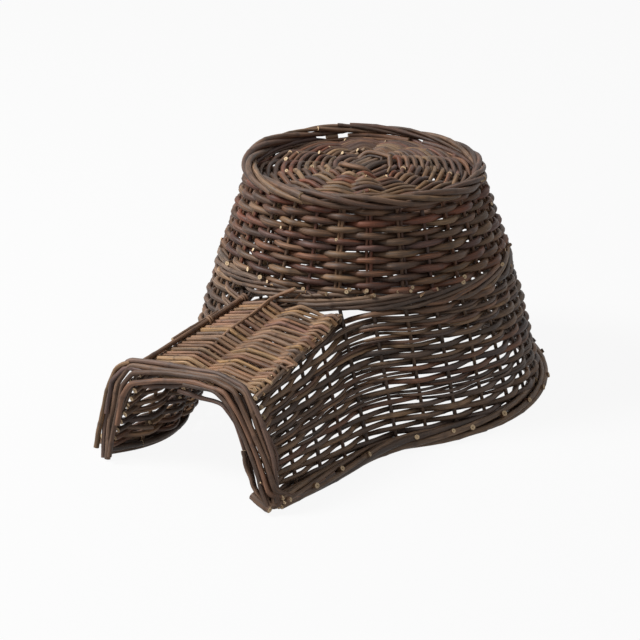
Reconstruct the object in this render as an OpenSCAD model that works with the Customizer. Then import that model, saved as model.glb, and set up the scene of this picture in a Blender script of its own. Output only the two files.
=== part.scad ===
// Hedgehog house of unpeeled willow: a round woven dome with a woven tunnel in front.
// Millimetres, +Z up, the tunnel runs towards -Y, the origin is under the middle of the whole part.

/* [House] */
// Radius of the ring of stakes at the ground
foot_r = 202; // [197:1:207]
// Radius of the ring of stakes at the waist
waist_r = 160; // [157:1:163]
// Height of the middle of the waist band
waist_z = 152; // [150:0.5:157]
// Radius of the ring of stakes at the top rim
rim_r = 126.5; // [125:0.5:130]
// Height of the middle of the top rim
rim_z = 253.5; // [252:0.5:260]
// Depth of the round roof's edge below the top of the stakes' lines
roof_drop = 10.5; // [10:0.5:12]
// Height of the round roof's middle above its edge
roof_crown = 14; // [12:1:16]

/* [Tunnel] */
// Distance from the middle of the house to the tunnel's mouth
tunnel_reach = 348; // [342:1:356]
// Sideways shift of the tunnel from the middle of the house
tunnel_shift = 15; // [10:1:20]
// Width of the mouth at the ground, between the leg stakes
mouth_foot_w = 228; // [222:1:234]
// Width of the mouth at the top, between the leg stakes
mouth_top_w = 152; // [148:1:156]
// Height of the tunnel roof's ribs at the mouth
mouth_z = 110; // [106:1:114]
// Distance that the top of the mouth leans back
mouth_lean = 20; // [14:1:26]
// Turn of the corner stakes' feet towards the tunnel, in degrees
corner_fan = 12; // [10:0.5:13]
// Share by which the corner stakes' feet stand further out
corner_swell = 0.15; // [0.13:0.01:0.16]
// Distance that the left side's foot bows into the tunnel
left_bow = 16; // [12:1:17]
// Distance that the left shoulder of the mouth's rods stands out
shoulder = 18; // [14:1:20]

/* [Rods] */
// Diameter of the stakes
stake_d = 6; // [5.6:0.1:6.2]
// Diameter of the weavers in the upper wall
weaver_d = 6.1; // [5.6:0.1:6.2]
// Diameter of the weavers in the lower wall
fine_d = 4.3; // [4:0.1:4.4]
// Diameter of the weavers in the tunnel roof
roof_d = 4.5; // [4.2:0.1:4.6]
// Diameter of the rods in the top rim
rim_d = 6.6; // [6.2:0.1:6.8]
// Diameter of the rods in the waist band
waist_d = 6.2; // [5.8:0.1:6.4]
// Diameter of the rods in the foot border
foot_d = 5.6; // [5.2:0.1:5.7]
// Diameter of the rod that lies on the ground
ground_d = 5.6; // [5.2:0.1:6]
// Depth of the flat on the ground rod
ground_flat = 0.5; // [0.4:0.1:0.6]
// Diameter of the rods round the mouth
arch_d = 7.2; // [6.8:0.1:7.6]
// Diameter of the ties at the ends of the tunnel roof's edges
tie_d = 2.6; // [2.2:0.1:2.8]
// Diameter of the round roof's sticks
stick_d = 6.2; // [5.8:0.1:6.4]
// Diameter of the round roof's weavers
base_d = 5; // [4.6:0.1:5.2]
// Gap left between neighbouring rods
gap = 0.34; // [0.3:0.02:0.4]

/* [Weave] */
// Stakes in the round house
stake_count = 28; // [28:4:28]
// Turns of the rim's rods round each other on their way round the house
rim_turns = 3.5; // [3.25:0.25:3.5]
// Rows of weaving above the waist
upper_rows = 14; // [12:1:14]
// Rows of weaving below the waist
lower_rows = 19; // [17:1:19]
// Rows of weaving in the tunnel roof
tunnel_rows = 31; // [28:1:31]
// Rounds of weaving in the round roof, outside the binding
base_rounds = 11; // [10:1:12]
// Bays of weaving along each tunnel side
side_bays = 4; // [4:1:4]

/* [Hidden] */
$fn = 48;

stake_r = stake_d / 2;
step = 360 / stake_count;
open_bays = 3;
house_bays = stake_count - open_bays;
lower_bays = house_bays + 2 * side_bays;
tunnel_angle = asin(tunnel_shift / waist_r) - 90;
first_angle = tunnel_angle + open_bays / 2 * step;
ground_z = ground_d / 2 - ground_flat;
border_half = 1.5 * foot_d + gap;
waist_half = 1.5 * waist_d + gap;
roof_z = waist_z - waist_half - gap - stake_r;
base_z = rim_z - roof_drop;
crown_z = base_z + roof_crown;
mouth_tilt = atan(mouth_lean / (mouth_z - ground_z));
arch_back_y = -(stake_r + gap + arch_d / 2) / cos(mouth_tilt);
arch_front_y = arch_back_y - (arch_d + gap) * sin(60) / cos(mouth_tilt);
foot_out = stake_r + gap + foot_d;
house_y = (arch_d / 2 - mouth_y(0) - arch_front_y - foot_r - foot_out) / 2;

bark = [0.30, 0.20, 0.15];
dark_bark = [0.22, 0.15, 0.12];
red_bark = [0.36, 0.20, 0.15];
tan_bark = [0.42, 0.31, 0.21];

function mix(a, b, f) = a + (b - a) * f;
function unit(v) = v / norm(v);
function polar(r, angle, z) = [r * cos(angle), r * sin(angle), z];

// Stake lines: a foot and a top for each stake of the lower wall, counted from the right leg of the mouth
function house_angle(j) = first_angle + j * step;
function fade(j, reach) = exp(-j / reach);
function corner_turn(j) = corner_fan * (fade(j, 2.2) - fade(house_bays - j, 2.2));
function corner_grow(j) = 1 + corner_swell * (fade(j, 0.9) + fade(house_bays - j, 0.9));
function house_foot(j) = polar(foot_r * corner_grow(j), house_angle(j) + corner_turn(j), ground_z);
function house_top(j) = polar(waist_r, house_angle(j), waist_z);
function at_height(a, b, z) = mix(a, b, (z - a[2]) / (b[2] - a[2]));
function corner_top(j) = at_height(house_foot(j), house_top(j), roof_z);
function mouth_foot(side) = [tunnel_shift + side * mouth_foot_w / 2, -tunnel_reach, ground_z];
function mouth_y(z) = -tunnel_reach + mouth_lean * (z - ground_z) / (mouth_z - ground_z);
function mouth_top(side) = [tunnel_shift + side * mouth_top_w / 2, mouth_y(mouth_z), mouth_z];
function side_foot(side, j, f) =
    mix(house_foot(j), mouth_foot(side), f) + [side < 0 ? left_bow * 4 * f * (1 - f) : 0, 0, 0];
function side_top(side, j, f) = mix(corner_top(j), mouth_top(side), f);
function lower_foot(s) =
    s < side_bays ? side_foot(1, 0, 1 - s / side_bays)
    : s > side_bays + house_bays ? side_foot(-1, house_bays, (s - side_bays - house_bays) / side_bays)
    : house_foot(s - side_bays);
function lower_top(s) =
    s < side_bays ? side_top(1, 0, 1 - s / side_bays)
    : s > side_bays + house_bays ? side_top(-1, house_bays, (s - side_bays - house_bays) / side_bays)
    : house_top(s - side_bays);
function at_corner(s) = s == side_bays || s == side_bays + house_bays;
function on_side(s) = s < side_bays || s > side_bays + house_bays;

// A point on the lower wall at a distance up its stake, and the wall's outward direction there
function lower_length(s) = norm(lower_top(s) - lower_foot(s));
function lower_point(s, up) = lower_foot(s) + unit(lower_top(s) - lower_foot(s)) * up;
function lower_start() = ground_d / 2 + gap + 2 * border_half + gap + fine_d / 2;
function lower_room(s) =
    at_corner(s) ? norm(corner_top(s - side_bays) - lower_foot(s)) - 1.2 * stake_d
    : lower_length(s) - (on_side(s) ? stake_r + 2 * gap : waist_half);
function lower_up(s, k) =
    mix(lower_start(), lower_room(s) - gap - fine_d / 2, k / (lower_rows - 1));
function row_point(s, k) = lower_point(s, lower_up(s, k));
function near(s) = max(0, min(lower_bays, s));
function lower_normal(s, k) =
    unit(cross(row_point(near(s + 1), k) - row_point(near(s - 1), k), lower_top(s) - lower_foot(s)));

// The weaver's distance from the stake line grows with its bend, so that it clears the stake
function bend(a, b, c) = acos(max(-1, min(1, unit(b - a) * unit(c - b))));
function lower_turn(s, k) =
    s == 0 || s == lower_bays ? 0 : bend(row_point(s - 1, k), row_point(s, k), row_point(s + 1, k));
function cleared(reach, bay, turn) = reach / cos(atan(2 * reach / bay) + turn / 2);
function lower_weaver(s, k) =
    row_point(s, k) + lower_normal(s, k) * ((s + k) % 2 == 0 ? 1 : -1)
    * cleared(stake_r + gap + fine_d / 2, border_bay, lower_turn(s, k));

// Upper wall: a cone from the waist to the rim
upper_length = norm([waist_r - rim_r, rim_z - waist_z]);
upper_lean = atan((waist_r - rim_r) / (rim_z - waist_z));

// Rim: four rods twisted round each other on top of the stakes
rim_strands = 4;
rim_turn = rim_turns * step;
rim_twist = (rim_d + gap) / sqrt(2) / cos(rim_turn / 2);
rim_half = rim_twist + rim_d / 2;
rim_shift = 0.7 * rim_d;
rim_up = upper_length + rim_shift * (cos(upper_lean) - sin(upper_lean));
rim_out = rim_shift * (cos(upper_lean) + sin(upper_lean));
upper_top = rim_up - sqrt(pow(rim_half + gap, 2) - pow(rim_out - stake_r, 2));
function rim_point(j, n) =
    let (turn = 360 / rim_strands * n - rim_turn * j)
    polar(rim_r + rim_shift + rim_twist * cos(turn), house_angle(j), rim_z + rim_shift + rim_twist * sin(turn));

// A point on the upper wall, and the weavers there
function upper_point(j, up, out) =
    polar(waist_r - up * sin(upper_lean) + out * cos(upper_lean), house_angle(j),
          waist_z + up * cos(upper_lean) + out * sin(upper_lean));
upper_start = waist_half + gap + weaver_d / 2;
upper_end = rim_up - rim_half - gap - weaver_d / 2;
function upper_up(k) = mix(upper_start, upper_end, k / (upper_rows - 1));
function upper_bay(up) = 2 * (waist_r - up * sin(upper_lean)) * sin(step / 2);
function upper_weaver(j, k) =
    upper_point(j, upper_up(k), ((j + k) % 2 == 0 ? 1 : -1)
                * cleared(stake_r + gap + weaver_d / 2, upper_bay(upper_up(k)), step));

// A wale of three rods: each passes behind one stake and in front of two, rising as it goes
function wale_out(q, d, bay) = (q % 3 == 0 ? -1 : 1) * cleared(stake_r + gap + d / 2, bay, step);
function wale_up(q, d) = [0, -1, 1][q % 3] * (d + gap);
function wale_point(q, d, up) = upper_point(q, up + wale_up(q, d), wale_out(q, d, upper_bay(up)));
border_bay = 1.77 * foot_r * sin(step / 2);
function border_normal(s) =
    unit(cross(lower_foot(near(s + 1)) - lower_foot(near(s - 1)), lower_top(s) - lower_foot(s)));
function border_point(s, q) =
    lower_point(s, ground_d / 2 + gap + border_half + wale_up(q, foot_d))
    + border_normal(s) * wale_out(q, foot_d, border_bay);

// Round roof: long sticks over cross sticks, whose ends fan out into spokes
spoke_count = stake_count / 2;
spoke_step = 360 / spoke_count;
long_count = ceil(stake_count / 8);
cross_count = floor(stake_count / 8);
stick_pitch = stick_d + gap;
slath_half = long_count / 2 * stick_pitch + base_d + gap;
base_r = waist_r - (waist_r - rim_r) * (base_z - waist_z) / (rim_z - waist_z)
    - (stake_r + weaver_d + gap / 2) / cos(upper_lean) - stick_d / 2 * tan(upper_lean);
cross_dip = [0, 0, -stick_pitch];
function spoke_end(i) = polar(base_r, (i - (long_count - 1) / 2) * spoke_step, base_z);
function arm(i) =
    i < long_count ? 0
    : i < long_count + cross_count ? 1
    : i < 2 * long_count + cross_count ? 2
    : 3;
function arm_place(i) =
    arm(i) == 0 ? i
    : arm(i) == 1 ? i - long_count
    : arm(i) == 2 ? 2 * long_count + cross_count - 1 - i
    : spoke_count - 1 - i;
function across(n, of) = (n - (of - 1) / 2) * stick_pitch;
function spoke_start(i) =
    arm(i) == 0 ? [slath_half, across(arm_place(i), long_count), crown_z]
    : arm(i) == 1 ? [-across(arm_place(i), cross_count), slath_half, crown_z] + cross_dip
    : arm(i) == 2 ? [-slath_half, across(arm_place(i), long_count), crown_z]
    : [-across(arm_place(i), cross_count), -slath_half, crown_z] + cross_dip;
function spoke_at(i, f) = mix(spoke_start(i), spoke_end(i), f);
function spoke_gap(f) = mix(stick_pitch, 2 * base_r * sin(spoke_step / 2), f);
base_out = (stick_d + base_d) / 2 + gap;
function base_rise(f) = base_out / sqrt(max(0.2, 1 - pow(2 * base_out / spoke_gap(f), 2)));
binding_rounds = 3;
weave_from = 0.31;
weave_to = 1 - (base_d / 2 + gap) / base_r;
function binding_f(m) = mix(0.01, weave_from - 0.06, m / (binding_rounds - 1));
function round_f(m) = mix(weave_from, weave_to, m / (base_rounds - 1));
function binding_point(n, m) =
    let (i = n % spoke_count)
    spoke_at(i, binding_f(m)) + [0, 0, ((arm(i) + m) % 2 == 0 ? 1 : -1) * base_out * 1.02];
function level(p) = [p[0], p[1], 0];
function corner_step(p, q, m) =
    (unit(level(q - p)) + unit(level(p + q)) * 0.35 * (binding_rounds - 1 - m)) * base_out;
function turns(n) = n < spoke_count && arm(n % spoke_count) != arm((n + 1) % spoke_count);
function binding_round(m) = [
    for (n = [0 : spoke_count])
        let (p = binding_point(n, m), q = binding_point(n + 1, m))
        each turns(n) ? [p, p + corner_step(p, q, m), q + corner_step(q, p, m)] : [p]
];
function base_round(m) = [
    for (n = [0 : spoke_count])
        let (i = n % spoke_count)
        spoke_at(i, round_f(m)) + [0, 0, ((i + m) % 2 == 0 ? 1 : -1) * base_rise(round_f(m))]
];

// Tunnel roof: two ribs between two edge rods
function rib_house(q) =
    q == 0 ? corner_top(house_bays)
    : q == open_bays ? corner_top(0)
    : polar(waist_r, tunnel_angle + (q - open_bays / 2) * step, roof_z);
function rib_mouth(q) = mix(mouth_top(-1), mouth_top(1), q / open_bays);
function rib_at(q, f) = mix(rib_mouth(q), rib_house(q), f);
roof_slope = atan((roof_z - mouth_z) / (tunnel_reach - mouth_lean - waist_r));
roof_up = [0, -sin(roof_slope), cos(roof_slope)];
tie_from = stake_d + 2 * gap + tie_d / 2;
rib_length = norm(rib_mouth(1) - rib_house(1));
row_first = roof_d / 2 / rib_length;
row_last = 1 - (stake_r + waist_d + roof_d + 4 * gap) / rib_length;
function row_f(m) = mix(row_first, row_last, m / (tunnel_rows - 1));
row_out = cleared(stake_r + gap + roof_d / 2, mouth_top_w / open_bays, 0);
function tunnel_row(m) =
    let (f = row_f(m), flip = m % 2 == 0 ? 1 : -1)
    [
        rib_at(0, f) + (m % 2 == 0 ? roof_up * row_out - [stake_d, 0, 0] : [stake_r + 2 * gap, 0, 0]),
        if (m % 2 == 0) rib_at(0, f) + roof_up * row_out,
        rib_at(1, f) - roof_up * flip * row_out,
        rib_at(2, f) + roof_up * flip * row_out,
        if (m % 2 == 1) rib_at(3, f) + roof_up * row_out,
        rib_at(3, f) + (m % 2 == 1 ? roof_up * row_out + [stake_d, 0, 0] : -[stake_r + 2 * gap, 0, 0])
    ];

// Rods as swept shapes: every rod of one node goes into a single polyhedron
function tangent(path, i) =
    unit(path[min(i + 1, len(path) - 1)] - path[max(i - 1, 0)]);
function widen(path, i) =
    i == 0 || i == len(path) - 1 ? 1 : 1 / cos(bend(path[i - 1], path[i], path[i + 1]) / 2);
function ring(path, i, d, sides) =
    let (t = tangent(path, i), a = unit(cross(t, [0, 0, 1])), b = cross(a, t))
    [for (q = [0 : sides - 1])
        path[i] + d / 2 * (a * widen(path, i) * cos(360 * q / sides) + b * sin(360 * q / sides))];
function rod_points(path, d, sides) = [for (i = [0 : len(path) - 1]) each ring(path, i, d, sides)];
function rod_skin(n, base, sides) = [
    for (i = [0 : n - 2], q = [0 : sides - 1])
        each let (a = base + i * sides + q, b = base + i * sides + (q + 1) % sides)
            [[a, b, b + sides], [a, b + sides, a + sides]],
    for (q = [1 : sides - 2])
        each let (last = base + (n - 1) * sides)
            [[base, base + q + 1, base + q], [last, last + q, last + q + 1]]
];
function starts(paths, sides, i = 0, total = 0) =
    i == len(paths) ? []
    : concat([total], starts(paths, sides, i + 1, total + len(paths[i]) * sides));
module rods(paths, d, sides = 4) {
    bases = starts(paths, sides);
    polyhedron(
        points = [for (path = paths) each rod_points(path, d, sides)],
        faces = [for (i = [0 : len(paths) - 1]) each rod_skin(len(paths[i]), bases[i], sides)]
    );
}
module bar(a, b, d) {
    run = b - a;
    translate(a)
        rotate([0, acos(run[2] / norm(run)), atan2(run[1], run[0])])
            cylinder(h = norm(run), d = d);
}
module in_place() {
    translate([0, house_y, 0]) children();
}
module on_top() {
    in_place() rotate([0, 0, 90]) children();
}

// Rods are cut where they pass behind a stake: every second stake above, every fourth below
function trimmed(path, cut) =
    let (n = len(path) - 1)
    [for (i = [0 : n])
        i == 0 ? path[0] + unit(path[1] - path[0]) * cut
        : i == n ? path[n] - unit(path[n] - path[n - 1]) * cut
        : path[i]];
function upper_rods(k) = [
    for (m = [0 : stake_count / 2 - 1])
        let (s = 2 * m + (k % 2 == 0 ? 1 : 0))
        trimmed([for (q = [0 : 2]) upper_weaver(s + q, k)], gap)
];
function lower_breaks(k) =
    let (first = (k % 2 == 0 ? 1 : 2) + 2 * (floor(k / 2) % 2))
    [0, for (s = [first : 4 : lower_bays - 1]) if (s > 1 && s < lower_bays - 1) s, lower_bays];
function lower_rods(k) =
    let (cuts = lower_breaks(k))
    [for (i = [0 : len(cuts) - 2])
        trimmed([for (s = [cuts[i] : cuts[i + 1]]) lower_weaver(s, k)], gap)];
function rim_rods(n) = [
    for (m = [0 : stake_count / 4 - 1])
        trimmed([for (q = [4 * m : 4 * m + 4]) rim_point(q, n)], gap)
];
function wale_rods(d, up) = [
    for (m = [0 : stake_count - 1])
        trimmed([for (q = [3 * m : 3 * m + 3]) wale_point(q, d, up)], gap)
];
function border_breaks(w) = [0, for (s = [1 : lower_bays - 1]) if ((s + w) % 3 == 0) s, lower_bays];
function border_rods(w) =
    let (cuts = border_breaks(w))
    [for (i = [0 : len(cuts) - 2])
            trimmed([for (s = [cuts[i] : cuts[i + 1]]) border_point(s, s + w)], gap)];

// Mouth: rods bent over the legs and the front of the tunnel roof
arch_round = 1.8 * arch_d;
function arch_top(side) = mouth_top(side) - [side < 0 ? shoulder : 0, 0, 0];
function leg_lean(side) =
    atan(side * (mouth_foot(side)[0] - arch_top(side)[0]) / (mouth_z - ground_z));
function arch_corner(side, out) =
    arch_top(side) + [side * out * tan(45 - leg_lean(side) / 2), 0, out];
function arch_foot(side, out) =
    let (top = arch_corner(side, out), down = unit(mouth_foot(side) - arch_top(side)))
    top + down * ((top[2] - arch_d / 2 * sin(leg_lean(side))) / -down[2]);
function arch_leg(side, out) =
    let (top = arch_corner(side, out), foot = arch_foot(side, out))
    [foot, top + unit(foot - top) * arch_round, top - [side * arch_round, 0, 0]];
function arch_rod(out, y) =
    let (right = arch_leg(1, out), left = arch_leg(-1, out))
    [for (p = [right[0], right[1], right[2], left[2], left[1], left[0]]) [p[0], y + mouth_y(p[2]), p[2]]];

module upper_weave_a() {
    color(bark) in_place()
        rods([for (k = [0 : 2 : upper_rows - 1]) each upper_rods(k)], weaver_d);
}
module upper_weave_b() {
    color(red_bark) in_place()
        rods([for (k = [1 : 2 : upper_rows - 1]) each upper_rods(k)], weaver_d);
}
module lower_weave_a() {
    color(bark) in_place()
        rods([for (k = [0 : 2 : lower_rows - 1]) each lower_rods(k)], fine_d);
}
module lower_weave_b() {
    color(dark_bark) in_place()
        rods([for (k = [1 : 2 : lower_rows - 1]) each lower_rods(k)], fine_d);
}
module rim_wale() {
    color(bark) in_place() rods([for (n = [0 : rim_strands - 1]) each rim_rods(n)], rim_d);
}
module waist_wale() {
    color(dark_bark) in_place() rods(wale_rods(waist_d, 0), waist_d);
}
module foot_wale() {
    color(bark) in_place() rods([for (w = [0 : 2]) each border_rods(w)], foot_d);
}
module tunnel_weave_a() {
    color(tan_bark) in_place()
        rods([for (m = [0 : 2 : tunnel_rows - 1]) tunnel_row(m)], roof_d);
}
module tunnel_weave_b() {
    color(tan_bark) in_place()
        rods([for (m = [1 : 2 : tunnel_rows - 1]) tunnel_row(m)], roof_d);
}

rib_stake_low = -(waist_half - stake_r * sin(upper_lean)) / cos(upper_lean);
module upper_stakes() {
    color(dark_bark) in_place()
        for (j = [0 : stake_count - 1])
            bar(upper_point(j, j > house_bays ? rib_stake_low : 0, 0),
                upper_point(j, upper_top, 0), stake_d);
}
stake_low = ground_d / 2 + gap + stake_r / 4;
module lower_stakes() {
    color(dark_bark) in_place()
        for (s = [side_bays : side_bays + house_bays])
            bar(lower_point(s, stake_low),
                lower_point(s, lower_length(s) - (at_corner(s) ? 1.7 : 1) * stake_d), stake_d);
}
module side_stakes(from) {
    for (s = [from : from + side_bays - 1])
        bar(lower_point(s, stake_low), lower_point(s, lower_length(s) - stake_d), stake_d);
}
module side_stakes_right() {
    color(dark_bark) in_place() side_stakes(0);
}
module side_stakes_left() {
    color(dark_bark) in_place() side_stakes(side_bays + house_bays + 1);
}
module roof_ribs() {
    color(tan_bark) in_place()
        for (q = [1, 2]) bar(rib_house(q), rib_mouth(q) + [0, -stake_r / 2, 0], stake_d);
}
module roof_edge(q) {
    a = rib_house(q);
    b = rib_mouth(q) + [0, -stake_r / 2, 0];
    bar(a + unit(b - a) * (stake_d + gap), b, stake_d);
}
module edge_tie(q, along) {
    a = rib_house(q);
    run = rib_mouth(q) - a;
    translate(a + unit(run) * along)
        rotate([0, acos(run[2] / norm(run)), atan2(run[1], run[0])])
            rotate_extrude() translate([stake_r + gap / 2 + tie_d / 2, 0]) circle(d = tie_d);
}
module edge_ties() {
    color(tan_bark) in_place()
        for (q = [0, open_bays], n = [0, 1]) edge_tie(q, tie_from + n * (tie_d + gap));
}
module roof_edge_right() {
    color(dark_bark) in_place() roof_edge(open_bays);
}
module roof_edge_left() {
    color(dark_bark) in_place() roof_edge(0);
}

module arch_back_rods() {
    color(bark) in_place()
        rods([for (n = [-0.5, 0.5]) arch_rod(n * (arch_d + gap), arch_back_y)], arch_d, 6);
}
module arch_front_rods() {
    color(dark_bark) in_place()
        rods([for (n = [-1, 0]) arch_rod(n * (arch_d + gap), arch_front_y)], arch_d, 6);
}

function stick(i, k) = [spoke_end(i), spoke_start(i), spoke_start(k), spoke_end(k)];
module base_long_sticks() {
    color(bark) on_top()
        rods([for (n = [0 : long_count - 1]) stick(n, 2 * long_count + cross_count - 1 - n)], stick_d, 6);
}
module base_cross_sticks() {
    color(bark) on_top()
        rods([for (n = [0 : cross_count - 1]) stick(long_count + n, spoke_count - 1 - n)], stick_d, 6);
}
module base_binding() {
    color(tan_bark) on_top()
        rods([for (m = [0 : binding_rounds - 1]) trimmed(binding_round(m), gap)], base_d);
}
module base_weave() {
    color(bark) on_top()
        rods([for (m = [0 : base_rounds - 1]) trimmed(base_round(m), gap)], base_d);
}

// The rod that lies on the ground, with a flat under it
module ground_profile() {
    intersection() {
        circle(d = ground_d);
        translate([-ground_d / 2, -ground_z]) square(ground_d);
    }
}
function ground_turn(s) =
    s == 0 || s == lower_bays ? 0 : bend(lower_foot(s - 1), lower_foot(s), lower_foot(s + 1));
function ground_cut(s) = ground_d / 2 * tan(ground_turn(s) / 2) + gap / 2;
module ground_bar(s) {
    a = lower_foot(s);
    run = lower_foot(s + 1) - a;
    translate(a)
        rotate([0, 0, atan2(run[1], run[0])])
            translate([ground_cut(s), 0, 0])
                rotate([90, 0, 90])
                    linear_extrude(height = norm(run) - ground_cut(s) - ground_cut(s + 1)) ground_profile();
}
module ground_rod() {
    color(bark) in_place()
        for (s = [0 : lower_bays - 1]) ground_bar(s);
}

base_long_sticks();
base_cross_sticks();
base_binding();
base_weave();
rim_wale();
upper_stakes();
upper_weave_a();
upper_weave_b();
waist_wale();
lower_stakes();
lower_weave_a();
lower_weave_b();
side_stakes_right();
side_stakes_left();
foot_wale();
ground_rod();
roof_ribs();
roof_edge_right();
roof_edge_left();
tunnel_weave_a();
tunnel_weave_b();
edge_ties();
arch_back_rods();
arch_front_rods();
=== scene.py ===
import math
import random

import bpy
import numpy as np
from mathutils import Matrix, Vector


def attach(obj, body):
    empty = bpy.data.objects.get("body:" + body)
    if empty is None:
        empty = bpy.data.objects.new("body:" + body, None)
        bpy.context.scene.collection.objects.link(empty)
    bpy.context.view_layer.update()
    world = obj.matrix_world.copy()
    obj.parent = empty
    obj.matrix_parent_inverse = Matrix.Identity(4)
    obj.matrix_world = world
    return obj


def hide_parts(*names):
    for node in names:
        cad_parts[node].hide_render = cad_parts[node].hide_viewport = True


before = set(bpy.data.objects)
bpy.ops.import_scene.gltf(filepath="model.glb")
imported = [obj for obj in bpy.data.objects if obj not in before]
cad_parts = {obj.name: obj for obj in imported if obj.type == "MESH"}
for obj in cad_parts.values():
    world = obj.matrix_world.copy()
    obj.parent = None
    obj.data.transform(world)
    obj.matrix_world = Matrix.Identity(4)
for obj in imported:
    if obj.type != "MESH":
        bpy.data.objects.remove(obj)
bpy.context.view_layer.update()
scene = bpy.context.scene
scene.view_settings.view_transform = "Standard"

millimetre = 0.001  # the weave is worked out in millimetres, the meshes are in metres

# the house, round its own middle; houseY is where that middle stands in the part
house = {
    "houseY": 77.394, "footR": 200, "waistR": 160, "waistZ": 152, "rimR": 126.5, "rimZ": 253.5,
    "stakes": 28, "openBays": 3, "sideBays": 4, "leftBow": 27,
    "cornerFan": 12, "fanBays": 2.2, "cornerSwell": 0.15, "swellBays": 0.9,
    "reach": 348, "shift": 15, "mouthFootW": 228, "mouthTopW": 152, "mouthZ": 110, "mouthLean": 20,
    "stakeR": 2.3, "waistHalf": 9.6, "groundZ": 2.3, "roofZ": 139.1, "cornerRoom": 7, "sideRoom": 3.6,
}


# small helpers for points and paths
def mix(a, b, f):
    return a + (b - a) * f


def unit(v):
    return v / np.linalg.norm(v)


def units(rows):
    return rows / np.linalg.norm(rows, axis=1)[:, None]


def polar(radius, angle, z):
    turn = math.radians(angle)
    return np.array([radius * math.cos(turn), radius * math.sin(turn), z])


def polars(radius, angles, z):
    turn = np.radians(angles)
    return np.stack([radius * np.cos(turn), radius * np.sin(turn), z + 0 * turn], axis=1)


def drawn(rng, ranges):
    return np.array([rng.uniform(*limits) for limits in ranges])


def through(values, t):
    # smooth curve through evenly numbered points, read at any places t
    last = len(values) - 1
    i = np.clip(np.floor(t).astype(int), 0, last - 1)
    f = (t - i)[:, None]
    p0, p1 = values[np.maximum(i - 1, 0)], values[i]
    p2, p3 = values[i + 1], values[np.minimum(i + 2, last)]
    return 0.5 * (2 * p1 + (p2 - p0) * f + (2 * p0 - 5 * p1 + 4 * p2 - p3) * f ** 2
                  + (3 * p1 - p0 - 3 * p2 + p3) * f ** 3)


def softPath(corners, spacing, rounds):
    # even points along straight runs, then averaged so that the corners become bends
    corners = np.array(corners, dtype=float)
    runs = np.linalg.norm(np.diff(corners, axis=0), axis=1)
    marks = np.concatenate([[0], np.cumsum(runs)])
    places = np.linspace(0, marks[-1], max(3, int(marks[-1] / spacing) + 1))
    path = np.stack([np.interp(places, marks, corners[:, axis]) for axis in range(3)], axis=1)
    for _ in range(rounds):
        path[1:-1] = 0.25 * path[:-2] + 0.5 * path[1:-1] + 0.25 * path[2:]
    return path


def wander(count, size, rng, waves=3):
    # slow uneven drift, different for each rod; three waves add up to about 1.8 at most
    f = np.linspace(0, 1, count)
    drift = np.zeros(count)
    for wave in range(1, waves + 1):
        drift += np.sin(2 * math.pi * (wave * rng.uniform(0.5, 1.1) * f + rng.random())) / wave
    return drift * size / 1.8


def wanderPath(path, size, rng, waves=3):
    return path + np.stack([wander(len(path), size, rng, waves) for _ in range(3)], axis=1)


# a willow rod: thicker at the butt, a little uneven, with a small swelling where a bud was
growth = {"taper": 0.16, "uneven": 0.06, "waves": 6, "firstBud": (10, 60), "budStep": (35, 80),
          "budSwell": 0.12, "barkShift": 900}


def makeRod(path, radius, rng, taper=growth["taper"], tint=None, knots=True, thin=None):
    path = np.asarray(path, dtype=float)
    length = np.concatenate([[0], np.cumsum(np.linalg.norm(np.diff(path, axis=0), axis=1))])
    f = length / length[-1]
    if rng.random() < 0.5:
        f = 1 - f  # laid the other way round
    uneven = wander(len(path), growth["uneven"], rng, growth["waves"])
    girth = radius * (1 + taper * (0.5 - f)) * (1 + uneven)
    if thin is not None:
        girth = girth * thin
    knot = np.zeros(len(path))
    if knots:
        at = rng.uniform(*growth["firstBud"])
        while at < length[-1]:
            knot[int(np.argmin(abs(length - at)))] = 1
            at += rng.uniform(*growth["budStep"])
    return {"path": path, "girth": girth * (1 + growth["budSwell"] * knot), "knot": knot,
            "along": length + rng.uniform(0, growth["barkShift"]),
            "tint": rng.random() if tint is None else tint}


# bark colours, as they look in daylight
def daylight(red, green, blue):
    out = []
    for part in (red, green, blue):
        part /= 255
        out.append(part / 12.92 if part <= 0.04045 else ((part + 0.055) / 1.055) ** 2.4)
    return (*out, 1)


barkColours = {
    "willowBrown": [(62, 41, 31), (102, 75, 56), (122, 94, 72), (114, 64, 42), (90, 67, 57),
                    (132, 101, 70), (84, 55, 40), (140, 112, 84), (74, 50, 39)],
    "willowRed": [(70, 42, 31), (114, 65, 46), (102, 75, 55), (126, 84, 60), (88, 59, 47),
                  (136, 103, 74), (80, 52, 40), (98, 69, 60)],
    "willowDark": [(62, 48, 39), (101, 79, 64), (130, 104, 82), (82, 61, 50), (148, 118, 90),
                   (116, 80, 61), (110, 90, 75), (76, 60, 55)],
    "willowTan": [(112, 82, 62), (158, 122, 92), (136, 102, 80), (176, 142, 106), (130, 90, 68),
                  (164, 128, 86), (118, 96, 84), (150, 112, 84), (128, 92, 80)],
    "willowGrey": [(66, 48, 38), (112, 86, 68), (90, 66, 50), (122, 94, 76), (84, 58, 44),
                   (96, 74, 68), (134, 104, 76), (104, 66, 54)],
}

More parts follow.
